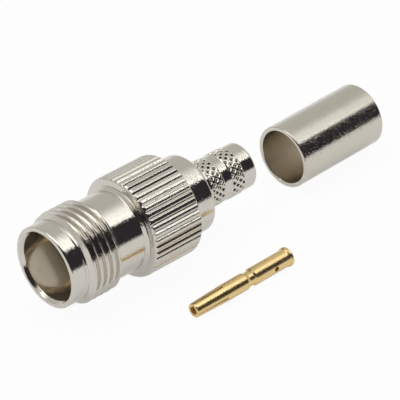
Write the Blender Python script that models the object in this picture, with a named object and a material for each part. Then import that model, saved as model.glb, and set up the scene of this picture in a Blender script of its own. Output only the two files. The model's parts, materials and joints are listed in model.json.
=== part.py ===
"""Crimp coaxial jack with a 7/16-28 coupling thread, its crimp ferrule and its socket contact.

The kit lies on a table as it comes out of its bag. The jack lies on its knurled collar with its axis
along X and its mouth towards -X. The ferrule lies behind the cable stem and the contact lies in front
of the collar, towards -Y. The origin is the middle of the kit's footprint on the table.
"""

import math
from itertools import pairwise

import bmesh
import bpy
from mathutils import Matrix, Vector

# All sizes are in metres; 1e-3 is a millimetre
# Clearance left between pieces that are pressed or seated together
FIT = 0.10e-3

# Mouth, pilot and thread of the shell
BORE_DIAMETER = 8.10e-3
BORE_DEPTH = 8.40e-3
MOUTH_CHAMFER_WIDTH = 0.34e-3
MOUTH_CHAMFER_LENGTH = 0.38e-3
PILOT_WALL = 0.85e-3
PILOT_LENGTH = 2.25e-3
RIM_ROUND = 0.20e-3
SCORE_STATION = 1.82e-3
SCORE_WIDTH = 0.13e-3
SCORE_DEPTH = 0.08e-3
THREAD_HEIGHT = 0.635e-3
THREAD_LENGTH = 4.65e-3
THREAD_PITCH = 25.4e-3 / 28
THREAD_DEPTH = 0.55e-3
THREAD_CREST_WIDTH = THREAD_PITCH / 8
FLANK_ANGLE = math.radians(30)
CREST_STATION = 2.627e-3
CREST_ANGLE = math.radians(149)
LEAD_IN_LENGTH = 0.35e-3
RUN_OUT_LENGTH = 0.60e-3

# Neck, shoulder ring and rear spigot of the shell
NECK_WALL = 0.85e-3
NECK_LENGTH = 3.50e-3
SHOULDER_HEIGHT = 0.40e-3
SHOULDER_LENGTH = 0.40e-3
SHOULDER_CONE_LENGTH = 0.25e-3
SHOULDER_EDGE = 0.10e-3
SPIGOT_WALL = 0.80e-3
SPIGOT_LENGTH = 2.40e-3
SPIGOT_CHAMFER = 0.20e-3
WEB_THICKNESS = 1.20e-3
CHAMBER_STEP = 0.45e-3

# Straight-knurled collar
COLLAR_LENGTH = 6.99e-3
COLLAR_FACE_HEIGHT = 0.62e-3
COLLAR_FACE_SLOPE = 0.10e-3
COLLAR_LEAD_HEIGHT = 0.28e-3
COLLAR_LEAD_LENGTH = 0.35e-3
LEAD_BULGE_AT = 0.35
LEAD_BULGE = 0.70
COLLAR_CHAMFER = 0.15e-3
TEETH = 45
TOOTH_DEPTH = 0.18e-3
GROOVE_WIDTH = 0.46e-3
GROOVE_FLOOR_WIDTH = 0.08e-3
GROOVE_ANGLE = math.radians(94.4)

# Hub and cable stem with its two diamond-knurled bands
HUB_WALL = 1.11e-3
HUB_WEB = 1.49e-3
HUB_ROUND = 0.35e-3
STEM_BORE_DIAMETER = 4.30e-3
STEM_WALL = 0.62e-3
STEM_LENGTH = 8.13e-3
STEM_ROUND = 0.25e-3
KNURL_START = 1.42e-3
KNURL_BAND_LENGTH = 1.90e-3
KNURL_BAND_GAP = 1.05e-3
KNURL_HEIGHT = 0.095e-3
KNURL_PIT_DEPTH = 0.15e-3
KNURL_ROWS_LONG = 4
KNURL_BAND_ROWS = (3, 4)
DIAMONDS = 20
PIT_ANGLE = math.radians(97.5)

# Insulator
NOSE_DIAMETER = 4.90e-3
NOSE_SETBACK = 4.05e-3
NOSE_CHAMFER = 0.20e-3
NOSE_FRONT_WALL = 1.05e-3
PIN_HOLE_DIAMETER = 1.50e-3
CONTACT_CLEARANCE = 0.05e-3

# Crimp ferrule
BRAID_SPACE = 0.45e-3
FERRULE_WALL = 0.525e-3
FERRULE_LENGTH = 13.00e-3
FERRULE_OUTER_ROUND = 0.15e-3
FERRULE_INNER_CHAMFER = 0.10e-3

# Socket contact, from its tip
CONTACT_LENGTH = 14.44e-3
TIP_DIAMETER = 1.72e-3
TIP_ROUND = 0.14e-3
FRONT_DIAMETER = 2.04e-3
TAPER_LENGTH = 4.80e-3
FRONT_LENGTH = 7.60e-3
SOCKET_WALL = 0.34e-3
SOCKET_DEPTH = 4.90e-3
DRILL_POINT = 0.25e-3
NECK_DEPTH = 0.16e-3
NECK_CONE_LENGTH = 0.40e-3
NECK_GROOVE_LENGTH = 0.70e-3
BARREL_DIAMETER = 2.10e-3
BARREL_CHAMFER = 0.08e-3
CRIMP_WALL = 0.33e-3
CRIMP_DEPTH = 4.20e-3
LIP_HEIGHT = 0.12e-3
LIP_LENGTH = 0.34e-3
LIP_CONE_LENGTH = 0.30e-3
LIP_ROUND = 0.08e-3
SLOT_WIDTH = 0.18e-3
SLOT_TIP_WIDTH = 0.06e-3
SLOT_LENGTH = 4.40e-3
INSPECTION_DIAMETER = 0.45e-3
INSPECTION_SETBACK = 2.64e-3
INSPECTION_ANGLE = math.radians(175.0)
CONTACT_ROLL = math.radians(1.5)

# Where the loose pieces lie beside the jack
FERRULE_GAP = 6.83e-3
FERRULE_OFFSET = 0.12e-3
FERRULE_YAW = math.radians(1.68)
CONTACT_GAP = 5.59e-3
CONTACT_STATION = 11.34e-3
CONTACT_YAW = math.radians(0.23)

# Fineness of the round surfaces: the hub's columns share the collar's and the stem's sectors
SHELL_COLUMNS = 48
HUB_COLUMNS = 60
COLUMNS_PER_TOOTH = 4
FERRULE_COLUMNS = 48
INSULATOR_COLUMNS = 36
CONTACT_COLUMNS = 32
DRILL_SIDES = 16
ROUND_STEPS = 3
MERGE_DISTANCE = 1e-7
THREAD_END_SNAP = 0.012e-3
SHARP_ANGLE = math.radians(28)
DOWN = -math.pi / 2

# Radii that follow from the walls and steps above
BORE_RADIUS = BORE_DIAMETER / 2
PILOT_RADIUS = BORE_RADIUS + PILOT_WALL
THREAD_RADIUS = PILOT_RADIUS + THREAD_HEIGHT
NECK_RADIUS = BORE_RADIUS + NECK_WALL
SHOULDER_RADIUS = NECK_RADIUS + SHOULDER_HEIGHT
CHAMBER_RADIUS = BORE_RADIUS - CHAMBER_STEP
SPIGOT_RADIUS = CHAMBER_RADIUS + SPIGOT_WALL
LAND_RADIUS = SHOULDER_RADIUS - SHOULDER_EDGE
COLLAR_FACE_RADIUS = LAND_RADIUS + COLLAR_FACE_HEIGHT
COLLAR_RADIUS = COLLAR_FACE_RADIUS + COLLAR_LEAD_HEIGHT
ROOT_RADIUS = COLLAR_RADIUS - TOOTH_DEPTH
HUB_RADIUS = CHAMBER_RADIUS + HUB_WALL
STEM_BORE_RADIUS = STEM_BORE_DIAMETER / 2
STEM_RADIUS = STEM_BORE_RADIUS + STEM_WALL
KNURL_RADIUS = STEM_RADIUS + KNURL_HEIGHT
PIT_RADIUS = STEM_RADIUS - KNURL_PIT_DEPTH
NOSE_RADIUS = NOSE_DIAMETER / 2
FERRULE_BORE_RADIUS = KNURL_RADIUS + BRAID_SPACE
FERRULE_RADIUS = FERRULE_BORE_RADIUS + FERRULE_WALL
FRONT_RADIUS = FRONT_DIAMETER / 2
BARREL_RADIUS = BARREL_DIAMETER / 2
LIP_RADIUS = BARREL_RADIUS + LIP_HEIGHT

# Stations along the jack's axis, from the mouth
NECK_START = PILOT_LENGTH + THREAD_LENGTH
SHOULDER_START = NECK_START + NECK_LENGTH
SHOULDER_END = SHOULDER_START + SHOULDER_LENGTH
SPIGOT_END = SHOULDER_END + SPIGOT_LENGTH
WEB_END = BORE_DEPTH + WEB_THICKNESS
COLLAR_FRONT = SHOULDER_END + FIT
COLLAR_REAR = COLLAR_FRONT + COLLAR_LENGTH
INSULATOR_REAR = NOSE_SETBACK + NOSE_FRONT_WALL + FIT + CONTACT_LENGTH
CHAMBER_END = INSULATOR_REAR + FIT
HUB_REAR = CHAMBER_END + HUB_WEB
STEM_END = HUB_REAR + STEM_LENGTH


def clear_scene():
    """Removes every object that the file holds."""
    for found in list(bpy.data.objects):
        bpy.data.objects.remove(found, do_unlink=True)


def finish(name, colour, roughness, metallic):
    """Makes one Principled material."""
    material = bpy.data.materials.new(name)
    material.use_nodes = True
    shader = material.node_tree.nodes["Principled BSDF"]
    shader.inputs["Base Color"].default_value = (*colour, 1.0)
    shader.inputs["Roughness"].default_value = roughness
    shader.inputs["Metallic"].default_value = metallic
    material.diffuse_color = (*colour, 1.0)
    return material


def empty(name, parent=None):
    """Makes an empty that carries a group of pieces."""
    made = bpy.data.objects.new(name, None)
    made.parent = parent
    bpy.context.collection.objects.link(made)
    return made


def solid(name, shape, parent, material=None):
    """Turns a closed bmesh into a smooth object on its parent's axis."""
    bmesh.ops.remove_doubles(shape, verts=shape.verts, dist=MERGE_DISTANCE)
    bmesh.ops.recalc_face_normals(shape, faces=shape.faces)
    mesh = bpy.data.meshes.new(name)
    shape.to_mesh(mesh)
    shape.free()
    mesh.shade_smooth()
    mesh.set_sharp_from_angle(angle=SHARP_ANGLE)
    if material:
        mesh.materials.append(material)
    made = bpy.data.objects.new(name, mesh)
    made.parent = parent
    bpy.context.collection.objects.link(made)
    return made


def rounded(corner, arriving, leaving, radius, steps=ROUND_STEPS):
    """Profile points of a round at a square corner, from the arriving side to the leaving one."""
    corner, arriving, leaving = Vector(corner), Vector(arriving), Vector(leaving)
    centre = corner + radius * (leaving - arriving)
    turns = [math.pi / 2 * step / steps for step in range(steps + 1)]
    return [tuple(centre + radius * (arriving * math.sin(t) - leaving * math.cos(t))) for t in turns]


REARWARD, FORWARD, OUTWARD, INWARD = (1, 0), (-1, 0), (0, 1), (0, -1)


def turned(profile, columns, closed=True):
    """Revolves (station, radius) points round X. The last point joins the first in a closed profile."""
    shape = bmesh.new()
    points = [shape.verts.new((x, r * math.cos(DOWN), r * math.sin(DOWN))) for x, r in profile]
    ends = [*points, points[0]] if closed else points
    edges = [shape.edges.new(pair) for pair in pairwise(ends)]
    bmesh.ops.spin(
        shape, geom=points + edges, cent=(0, 0, 0), axis=(1, 0, 0), angle=math.tau, steps=columns
    )
    return shape


def ring(shape, station, polar):
    """Adds one ring of points at a station, from (angle, radius) pairs."""
    return [shape.verts.new((station, r * math.cos(a), r * math.sin(a))) for a, r in polar]


def even_ring(shape, station, radius, columns, first_angle=0.0):
    """Adds a round ring of evenly spaced points."""
    return ring(shape, station, [(first_angle + math.tau * n / columns, radius) for n in range(columns)])


def skin(shape, near, far):
    """Joins two rings of the same count with four-sided faces."""
    for n in range(len(near)):
        shape.faces.new((near[n - 1], near[n], far[n], far[n - 1]))


def flat_face(shape, outer, inner):
    """Joins two rings in one plane, whose counts may differ, with one flat face for each shared sector."""
    sectors = math.gcd(len(outer), len(inner))
    wide, narrow = len(outer) // sectors, len(inner) // sectors
    for n in range(sectors):
        rim = [outer[(n * wide + k) % len(outer)] for k in range(wide + 1)]
        hole = [inner[(n * narrow + k) % len(inner)] for k in range(narrow + 1)]
        shape.faces.new([*rim, *reversed(hole)])


def thread_profile():
    """One pitch of the thread, as (run behind the crest's front edge, depth) of its four edges."""
    flank = THREAD_DEPTH * math.tan(FLANK_ANGLE)
    return [
        (0.0, 0.0),
        (THREAD_CREST_WIDTH, 0.0),
        (THREAD_CREST_WIDTH + flank, THREAD_DEPTH),
        (THREAD_PITCH - flank, THREAD_DEPTH),
    ]


def thread_point(edges, row, column):
    """Station and radius where one edge of the helix crosses one column, kept between the end cones."""
    turn, edge = divmod(row, len(edges))
    run, depth = edges[edge]
    angle = math.tau * column / SHELL_COLUMNS
    lead = THREAD_PITCH * (turn + (angle - CREST_ANGLE) / math.tau)
    station = CREST_STATION - THREAD_CREST_WIDTH / 2 + lead + run
    if station < PILOT_LENGTH + THREAD_END_SNAP:
        return PILOT_LENGTH, PILOT_RADIUS
    if station > NECK_START - THREAD_END_SNAP:
        return NECK_START, NECK_RADIUS
    front_cone = PILOT_RADIUS + (station - PILOT_LENGTH) * THREAD_HEIGHT / LEAD_IN_LENGTH
    rear_cone = NECK_RADIUS + (NECK_START - station) * THREAD_HEIGHT / RUN_OUT_LENGTH
    return station, min(THREAD_RADIUS - depth, front_cone, rear_cone)


def thread_skin(shape):
    """The right-handed thread: strips of triangles whose rows run along the helix."""
    edges = thread_profile()
    made = {}

    def vertex(row, column):
        """The point of one row in one column. After a whole turn a row becomes the next turn's."""
        turns, column = divmod(column, SHELL_COLUMNS)
        station, radius = thread_point(edges, row + turns * len(edges), column)
        if (station, column) not in made:
            angle = math.tau * column / SHELL_COLUMNS
            place = (station, radius * math.cos(angle), radius * math.sin(angle))
            made[station, column] = shape.verts.new(place)
        return made[station, column]

    turns = math.ceil(THREAD_LENGTH / THREAD_PITCH) + 1
    for row in range(-2 * len(edges), turns * len(edges)):
        for column in range(SHELL_COLUMNS):
            a, b = vertex(row, column), vertex(row + 1, column)
            c, d = vertex(row + 1, column + 1), vertex(row, column + 1)
            for corners in ((a, b, d), (b, c, d)):
                if len(set(corners)) == len(corners):
                    shape.faces.new(corners)


def build_shell(parent, material):
    """The threaded front: mouth, pilot, thread, neck, shoulder ring, rear spigot and chamber."""
    score_floor = PILOT_RADIUS - SCORE_DEPTH
    profile = [
        (NECK_START, NECK_RADIUS),
        (SHOULDER_START, NECK_RADIUS),
        (SHOULDER_START + SHOULDER_CONE_LENGTH, SHOULDER_RADIUS - SHOULDER_EDGE / 2),
        (SHOULDER_END - SHOULDER_EDGE / 2, SHOULDER_RADIUS),
        (SHOULDER_END, LAND_RADIUS),
        (SHOULDER_END, SPIGOT_RADIUS),
        (SPIGOT_END - SPIGOT_CHAMFER, SPIGOT_RADIUS),
        (SPIGOT_END, SPIGOT_RADIUS - SPIGOT_CHAMFER),
        (SPIGOT_END, CHAMBER_RADIUS),
        (WEB_END, CHAMBER_RADIUS),
        (WEB_END, NOSE_RADIUS + FIT),
        (BORE_DEPTH, NOSE_RADIUS + FIT),
        (BORE_DEPTH, BORE_RADIUS),
        (MOUTH_CHAMFER_LENGTH, BORE_RADIUS),
        (0.0, BORE_RADIUS + MOUTH_CHAMFER_WIDTH),
        *rounded((0.0, PILOT_RADIUS), OUTWARD, REARWARD, RIM_ROUND),
        (SCORE_STATION, PILOT_RADIUS),
        (SCORE_STATION + SCORE_WIDTH / 2, score_floor),
        (SCORE_STATION + SCORE_WIDTH, PILOT_RADIUS),
        (PILOT_LENGTH, PILOT_RADIUS),
    ]
    shape = turned(profile, SHELL_COLUMNS, closed=False)
    thread_skin(shape)
    return solid("jack_shell", shape, parent, material)


def build_insulator(parent, material):
    """The stepped insulator: its nose passes the shell's web, and its bore takes the contact from behind."""
    shoulder = WEB_END + FIT
    body_radius = CHAMBER_RADIUS - FIT
    bore = max(FRONT_RADIUS, BARREL_RADIUS) + CONTACT_CLEARANCE
    recess = LIP_RADIUS + CONTACT_CLEARANCE
    recess_start = INSULATOR_REAR - LIP_LENGTH - LIP_CONE_LENGTH
    bore_start = NOSE_SETBACK + NOSE_FRONT_WALL
    pin_hole = PIN_HOLE_DIAMETER / 2
    profile = [
        (NOSE_SETBACK, pin_hole),
        (NOSE_SETBACK, NOSE_RADIUS - NOSE_CHAMFER),
        (NOSE_SETBACK + NOSE_CHAMFER, NOSE_RADIUS),
        (shoulder, NOSE_RADIUS),
        (shoulder, body_radius),
        (INSULATOR_REAR, body_radius),
        (INSULATOR_REAR, recess),
        (recess_start, recess),
        (recess_start, bore),
        (bore_start, bore),
        (bore_start, pin_hole),
    ]
    return solid("insulator", turned(profile, INSULATOR_COLUMNS), parent, material)


def tooth_ring(shape, station, crest):
    """A ring of the straight knurl: each groove has two floor points and two crest points."""
    floor = min(crest, ROOT_RADIUS)
    half_floor = GROOVE_FLOOR_WIDTH / ROOT_RADIUS / 2
    half_open = GROOVE_WIDTH / COLLAR_RADIUS / 2
    polar = []
    for n in range(TEETH):
        middle = GROOVE_ANGLE + math.tau * n / TEETH
        polar += [
            (middle - half_floor, floor),
            (middle + half_floor, floor),
            (middle + half_open, crest),
            (middle + math.tau / TEETH - half_open, crest),
        ]
    return ring(shape, station, polar)


def build_collar_skin(shape, front_bore, hub_front):
    """The straight-knurled collar, from the bore in its front face to the hub in its rear face."""
    face_end = COLLAR_FRONT + COLLAR_FACE_SLOPE
    bulge_station = face_end + COLLAR_LEAD_LENGTH * LEAD_BULGE_AT
    bulge_radius = COLLAR_FACE_RADIUS + COLLAR_LEAD_HEIGHT * LEAD_BULGE
    rings = [
        tooth_ring(shape, COLLAR_FRONT, LAND_RADIUS),
        tooth_ring(shape, face_end, COLLAR_FACE_RADIUS),
        tooth_ring(shape, bulge_station, bulge_radius),
        tooth_ring(shape, face_end + COLLAR_LEAD_LENGTH, COLLAR_RADIUS),
        tooth_ring(shape, COLLAR_REAR - COLLAR_CHAMFER, COLLAR_RADIUS),
        tooth_ring(shape, COLLAR_REAR, COLLAR_RADIUS - COLLAR_CHAMFER),
    ]
    flat_face(shape, rings[0], front_bore)
    for near, far in pairwise(rings):
        skin(shape, near, far)
    flat_face(shape, rings[-1], hub_front)


def pitted_ring(shape, station, row):
    """A ring across a row of the diamond knurl: pits alternate with the crossings of the raised net."""
    columns = 2 * DIAMONDS
    polar = []
    for n in range(columns):
        radius = KNURL_RADIUS if (n + row) % 2 else PIT_RADIUS
        polar.append((PIT_ANGLE + math.tau * n / columns, radius))
    return ring(shape, station, polar)


def lattice_skin(shape, near, far, row):
    """Joins two rows with triangles whose diagonals run along the raised net, from crossing to crossing."""
    for n in range(len(near)):
        a, b, c, d = near[n - 1], near[n], far[n], far[n - 1]
        if (n + row) % 2:
            shape.faces.new((a, b, d))
            shape.faces.new((b, c, d))
        else:
            shape.faces.new((a, b, c))
            shape.faces.new((a, c, d))


def build_knurl_band(shape, start, rows, smooth_ring):
    """One diamond-knurled band, centred on its length. It returns the smooth ring behind it."""
    pitch = KNURL_BAND_LENGTH / KNURL_ROWS_LONG
    first = start + (KNURL_BAND_LENGTH - pitch * (rows - 1)) / 2
    edge = even_ring(shape, start, STEM_RADIUS, 2 * DIAMONDS, PIT_ANGLE)
    skin(shape, smooth_ring, edge)
    near = edge
    for row in range(rows):
        far = pitted_ring(shape, first + pitch * row, row)
        lattice_skin(shape, near, far, row - 1)
        near = far
    end = even_ring(shape, start + KNURL_BAND_LENGTH, STEM_RADIUS, 2 * DIAMONDS, PIT_ANGLE)
    lattice_skin(shape, near, end, rows - 1)
    return end


def build_rear_body(parent, material):
    """Collar, hub and cable stem, turned and knurled from one bar and bored from both ends."""
    shape = bmesh.new()
    front_bore_radius = SPIGOT_RADIUS + FIT
    front_bore = even_ring(shape, COLLAR_FRONT, front_bore_radius, HUB_COLUMNS, GROOVE_ANGLE)
    hub = [even_ring(shape, COLLAR_REAR, HUB_RADIUS, HUB_COLUMNS, GROOVE_ANGLE)]
    for station, radius in rounded((HUB_REAR, HUB_RADIUS), REARWARD, INWARD, HUB_ROUND):
        hub.append(even_ring(shape, station, radius, HUB_COLUMNS, GROOVE_ANGLE))
    build_collar_skin(shape, front_bore, hub[0])
    for near, far in pairwise(hub):
        skin(shape, near, far)

    stem = even_ring(shape, HUB_REAR, STEM_RADIUS, 2 * DIAMONDS, PIT_ANGLE)
    flat_face(shape, hub[-1], stem)
    start = HUB_REAR + KNURL_START
    for rows in KNURL_BAND_ROWS:
        stem = build_knurl_band(shape, start, rows, stem)
        start += KNURL_BAND_LENGTH + KNURL_BAND_GAP
    for station, radius in rounded((STEM_END, STEM_RADIUS), REARWARD, INWARD, STEM_ROUND):
        end = even_ring(shape, station, radius, 2 * DIAMONDS, PIT_ANGLE)
        skin(shape, stem, end)
        stem = end

    stem_bore_end = even_ring(shape, STEM_END, STEM_BORE_RADIUS, 2 * DIAMONDS, PIT_ANGLE)
    stem_bore_start = even_ring(shape, CHAMBER_END, STEM_BORE_RADIUS, 2 * DIAMONDS, PIT_ANGLE)
    skin(shape, stem, stem_bore_end)
    skin(shape, stem_bore_end, stem_bore_start)
    chamber_end = even_ring(shape, CHAMBER_END, CHAMBER_RADIUS, HUB_COLUMNS, GROOVE_ANGLE)
    flat_face(shape, chamber_end, stem_bore_start)
    seat = SPIGOT_END + FIT
    chamber_front = even_ring(shape, seat, CHAMBER_RADIUS, HUB_COLUMNS, GROOVE_ANGLE)
    spigot_seat = even_ring(shape, seat, front_bore_radius, HUB_COLUMNS, GROOVE_ANGLE)
    skin(shape, chamber_end, chamber_front)
    skin(shape, chamber_front, spigot_seat)
    skin(shape, spigot_seat, front_bore)
    return solid("rear_body", shape, parent, material)


def build_ferrule(parent, material):
    """The crimp ferrule: a plain tube whose bore clears the knurled stem and the cable's braid."""
    profile = [
        (FERRULE_INNER_CHAMFER, FERRULE_BORE_RADIUS),
        (0.0, FERRULE_BORE_RADIUS + FERRULE_INNER_CHAMFER),
        *rounded((0.0, FERRULE_RADIUS), OUTWARD, REARWARD, FERRULE_OUTER_ROUND),
        *rounded((FERRULE_LENGTH, FERRULE_RADIUS), REARWARD, INWARD, FERRULE_OUTER_ROUND),
        (FERRULE_LENGTH, FERRULE_BORE_RADIUS + FERRULE_INNER_CHAMFER),
        (FERRULE_LENGTH - FERRULE_INNER_CHAMFER, FERRULE_BORE_RADIUS),
    ]
    return solid("crimp_ferrule", turned(profile, FERRULE_COLUMNS), parent, material)


def slot_cutter(name, roll, parent):
    """A wedge across the contact's front, which cuts two opposite slots that narrow towards the tip."""
    shape = bmesh.new()
    bmesh.ops.create_cube(shape, size=1.0)
    for corner in shape.verts:
        station, width = (SLOT_LENGTH, SLOT_WIDTH) if corner.co.x > 0 else (-TIP_ROUND, SLOT_TIP_WIDTH)
        corner.co = (station, corner.co.y * 4 * FRONT_RADIUS, corner.co.z * width)
    bmesh.ops.rotate(shape, matrix=Matrix.Rotation(roll, 3, "X"), verts=shape.verts)
    return cutter(name, shape, parent)


def inspection_cutter(name, parent):
    """A drill through one wall of the crimp barrel."""
    shape = bmesh.new()
    bmesh.ops.create_cone(
        shape,
        cap_ends=True,
        segments=DRILL_SIDES,
        radius1=INSPECTION_DIAMETER / 2,
        radius2=INSPECTION_DIAMETER / 2,
        depth=2 * BARREL_RADIUS,
    )
    out = Vector((0, math.cos(INSPECTION_ANGLE), math.sin(INSPECTION_ANGLE)))
    turn = out.to_track_quat("Z", "Y").to_matrix()
    bmesh.ops.rotate(shape, matrix=turn, verts=shape.verts)
    station = CONTACT_LENGTH - INSPECTION_SETBACK
    middle = Vector((station, 0, 0)) + BARREL_RADIUS * out
    bmesh.ops.translate(shape, vec=middle, verts=shape.verts)
    return cutter(name, shape, parent)


def cutter(name, shape, parent):
    """Keeps a cutting shape out of the model itself."""
    made = solid(name, shape, parent)
    made.hide_render = True
    made.display_type = "WIRE"
    return made


def build_contact(parent, material):
    """The socket contact: slotted and closed-in front, neck, crimp barrel and lip."""
    tip_radius = TIP_DIAMETER / 2
    neck_radius = FRONT_RADIUS - NECK_DEPTH
    neck_start = FRONT_LENGTH + NECK_CONE_LENGTH
    barrel_start = neck_start + NECK_GROOVE_LENGTH
    lip_start = CONTACT_LENGTH - LIP_LENGTH
    crimp_radius = BARREL_RADIUS - CRIMP_WALL
    profile = [
        (SOCKET_DEPTH + DRILL_POINT, 0.0),
        (SOCKET_DEPTH, FRONT_RADIUS - SOCKET_WALL),
        (0.0, tip_radius - SOCKET_WALL),
        *rounded((0.0, tip_radius), OUTWARD, REARWARD, TIP_ROUND),
        (TAPER_LENGTH, FRONT_RADIUS),
        (FRONT_LENGTH, FRONT_RADIUS),
        (neck_start, neck_radius),
        (barrel_start, neck_radius),
        (barrel_start + BARREL_CHAMFER, BARREL_RADIUS - BARREL_CHAMFER),
        (barrel_start + 2 * BARREL_CHAMFER, BARREL_RADIUS),
        (lip_start - LIP_CONE_LENGTH, BARREL_RADIUS),
        (lip_start, LIP_RADIUS),
        *rounded((CONTACT_LENGTH, LIP_RADIUS), REARWARD, INWARD, LIP_ROUND),
        (CONTACT_LENGTH, crimp_radius),
        (CONTACT_LENGTH - CRIMP_DEPTH, crimp_radius),
        (CONTACT_LENGTH - CRIMP_DEPTH - DRILL_POINT, 0.0),
    ]
    contact = solid("center_contact", turned(profile, CONTACT_COLUMNS, closed=False), parent, material)
    cutters = [
        slot_cutter("slot_cutter_a", CONTACT_ROLL, parent),
        slot_cutter("slot_cutter_b", CONTACT_ROLL + math.pi / 2, parent),
        inspection_cutter("inspection_cutter", parent),
    ]
    for blade in cutters:
        cut = contact.modifiers.new(blade.name, "BOOLEAN")
        cut.operation = "DIFFERENCE"
        cut.object = blade
    return contact


def world_points(pieces):
    """Every corner of the pieces where they stand now."""
    bpy.context.view_layer.update()
    return [piece.matrix_world @ corner.co for piece in pieces for corner in piece.data.vertices]


def lay_down(carrier, pieces):
    """Lowers a group until its lowest corner lies on the table."""
    carrier.location.z -= min(point.z for point in world_points(pieces))


def stand_on_origin(kit, pieces):
    """Puts the middle of the whole kit's footprint at the origin."""
    points = world_points(pieces)
    for axis in range(2):
        places = [point[axis] for point in points]
        kit.location[axis] -= (min(places) + max(places)) / 2


def main():
    """Builds the kit and lays its three loose pieces out."""
    clear_scene()
    kit = empty("kit")

    jack = empty("jack_axis", kit)
    shell = build_shell(jack, finish("shell_nickel", (0.78, 0.76, 0.72), 0.14, 1.0))
    body = build_rear_body(jack, finish("body_nickel", (0.77, 0.75, 0.71), 0.16, 1.0))
    insulator = build_insulator(jack, finish("insulator_ptfe", (0.90, 0.89, 0.86), 0.55, 0.0))
    lay_down(jack, [shell, body, insulator])

    ferrule_axis = empty("ferrule_axis", kit)
    ferrule_axis.location = (STEM_END + FERRULE_GAP, FERRULE_OFFSET, 0)
    ferrule_axis.rotation_euler.z = FERRULE_YAW
    ferrule = build_ferrule(ferrule_axis, finish("ferrule_nickel", (0.74, 0.72, 0.68), 0.28, 1.0))
    lay_down(ferrule_axis, [ferrule])

    contact_axis = empty("contact_axis", kit)
    contact_axis.location = (CONTACT_STATION, -COLLAR_RADIUS - CONTACT_GAP, 0)
    rise = math.atan2(LIP_RADIUS - FRONT_RADIUS, CONTACT_LENGTH - LIP_LENGTH - TAPER_LENGTH)
    contact_axis.rotation_euler = (0, -rise, CONTACT_YAW)
    contact = build_contact(contact_axis, finish("contact_gold", (0.83, 0.60, 0.26), 0.18, 1.0))
    lay_down(contact_axis, [contact])

    stand_on_origin(kit, [shell, body, insulator, ferrule, contact])


main()
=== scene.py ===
"""Looks of a crimp coaxial jack kit: threaded jack, crimp ferrule and socket contact on a white table."""

import json
import logging
import math
from collections.abc import Callable, Sequence
from dataclasses import dataclass
from enum import Enum
from typing import Any, ClassVar, Self

import bmesh
import bpy
import numpy as np
from bpy.types import ID, Material, Node, NodeSocket, NodeTree, Object, World
from mathutils import Matrix, Vector


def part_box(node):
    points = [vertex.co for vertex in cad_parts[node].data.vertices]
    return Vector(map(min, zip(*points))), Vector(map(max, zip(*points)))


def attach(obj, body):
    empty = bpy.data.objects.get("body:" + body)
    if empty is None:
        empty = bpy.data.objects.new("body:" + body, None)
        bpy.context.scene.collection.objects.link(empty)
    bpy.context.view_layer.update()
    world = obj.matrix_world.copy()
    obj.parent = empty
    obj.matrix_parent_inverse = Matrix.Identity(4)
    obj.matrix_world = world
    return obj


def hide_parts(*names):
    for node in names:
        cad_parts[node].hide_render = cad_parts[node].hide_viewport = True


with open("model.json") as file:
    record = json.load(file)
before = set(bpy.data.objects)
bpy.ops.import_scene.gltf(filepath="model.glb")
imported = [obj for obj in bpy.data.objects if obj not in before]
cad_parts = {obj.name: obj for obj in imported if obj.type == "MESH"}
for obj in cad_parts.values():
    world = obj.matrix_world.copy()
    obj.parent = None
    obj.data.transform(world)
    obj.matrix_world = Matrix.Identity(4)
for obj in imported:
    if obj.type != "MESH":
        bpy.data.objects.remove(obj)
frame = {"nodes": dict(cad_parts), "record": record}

log = logging.getLogger("jack_kit")

MM = 0.001
"""One millimetre in metres."""
INCH = 25.4 * MM
"""One inch in metres, for the thread."""
BODY = "root"
"""The one rigid body that every piece rides on."""
"""Where the boxes of the solids and of the finished pieces are noted."""
SHARP_ANGLE = math.radians(32)
"""The angle between two faces from which their edge stays sharp."""
SUPPORT = 0.02 * MM
"""How far inside the ends of a long run its supporting rings lie."""
LONG_RUN = 6 * SUPPORT
"""The length from which a run gets supporting rings."""
HAIR = 0.01 * MM
"""A distance too small to see, by which a face may lie past a limit."""
BLEND = 0.02 * MM
"""How wide the round is where two cut faces meet."""
SAME_POINT = 0.0001 * MM
"""The distance under which two points are one."""
NOISE_RANGE = (0.3, 0.7)
"""The values between which nearly all of a noise pattern lies."""

Ring = tuple[float, np.ndarray]
"""One ring of a turned surface: its station along the axis and its radius at each angle, in metres."""
FaceTest = Callable[[float, float, bool], bool]
"""Says from a face's station, its radius and whether it looks inwards if a finish is meant for it."""


def linear(hex_colour: str, strength: float = 1.0) -> tuple[float, float, float, float]:
    """Turns an sRGB hex colour into Blender's linear values.

    Args:
        hex_colour: Six hex digits, with or without a leading #.
        strength: What its red, green and blue are multiplied by.

    Returns:
        Linear red, green and blue, and an alpha of 1.
    """
    digits = hex_colour.lstrip("#")
    parts = [int(digits[start : start + 2], 16) / 255 for start in (0, 2, 4)]
    red, green, blue = (c / 12.92 if c <= 0.04045 else ((c + 0.055) / 1.055) ** 2.4 for c in parts)
    return red * strength, green * strength, blue * strength, 1.0


def add_node(
    tree: NodeTree, kind: str, inputs: dict[str | int, Any] | None = None, **settings: Any
) -> Node:
    """Adds one node, with its settings, socket values and links.

    Args:
        tree: The node tree that gets the node.
        kind: The node's type, such as ShaderNodeTexNoise.
        inputs: A value, or an output socket to link, for each input socket by name or number.
        **settings: Attributes to set on the node.

    Returns:
        The new node.
    """
    node = tree.nodes.new(kind)
    for name, value in settings.items():
        setattr(node, name, value)
    for key, value in (inputs or {}).items():
        if isinstance(value, NodeSocket):
            tree.links.new(value, node.inputs[key])
        else:
            node.inputs[key].default_value = value
    return node


def empty_tree(owner: Material | World) -> NodeTree:
    """Gives a new material or world a node tree without nodes.

    Args:
        owner: The material or world.

    Returns:
        Its node tree.
    """
    owner.use_nodes = True
    owner.node_tree.nodes.clear()
    return owner.node_tree


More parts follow.
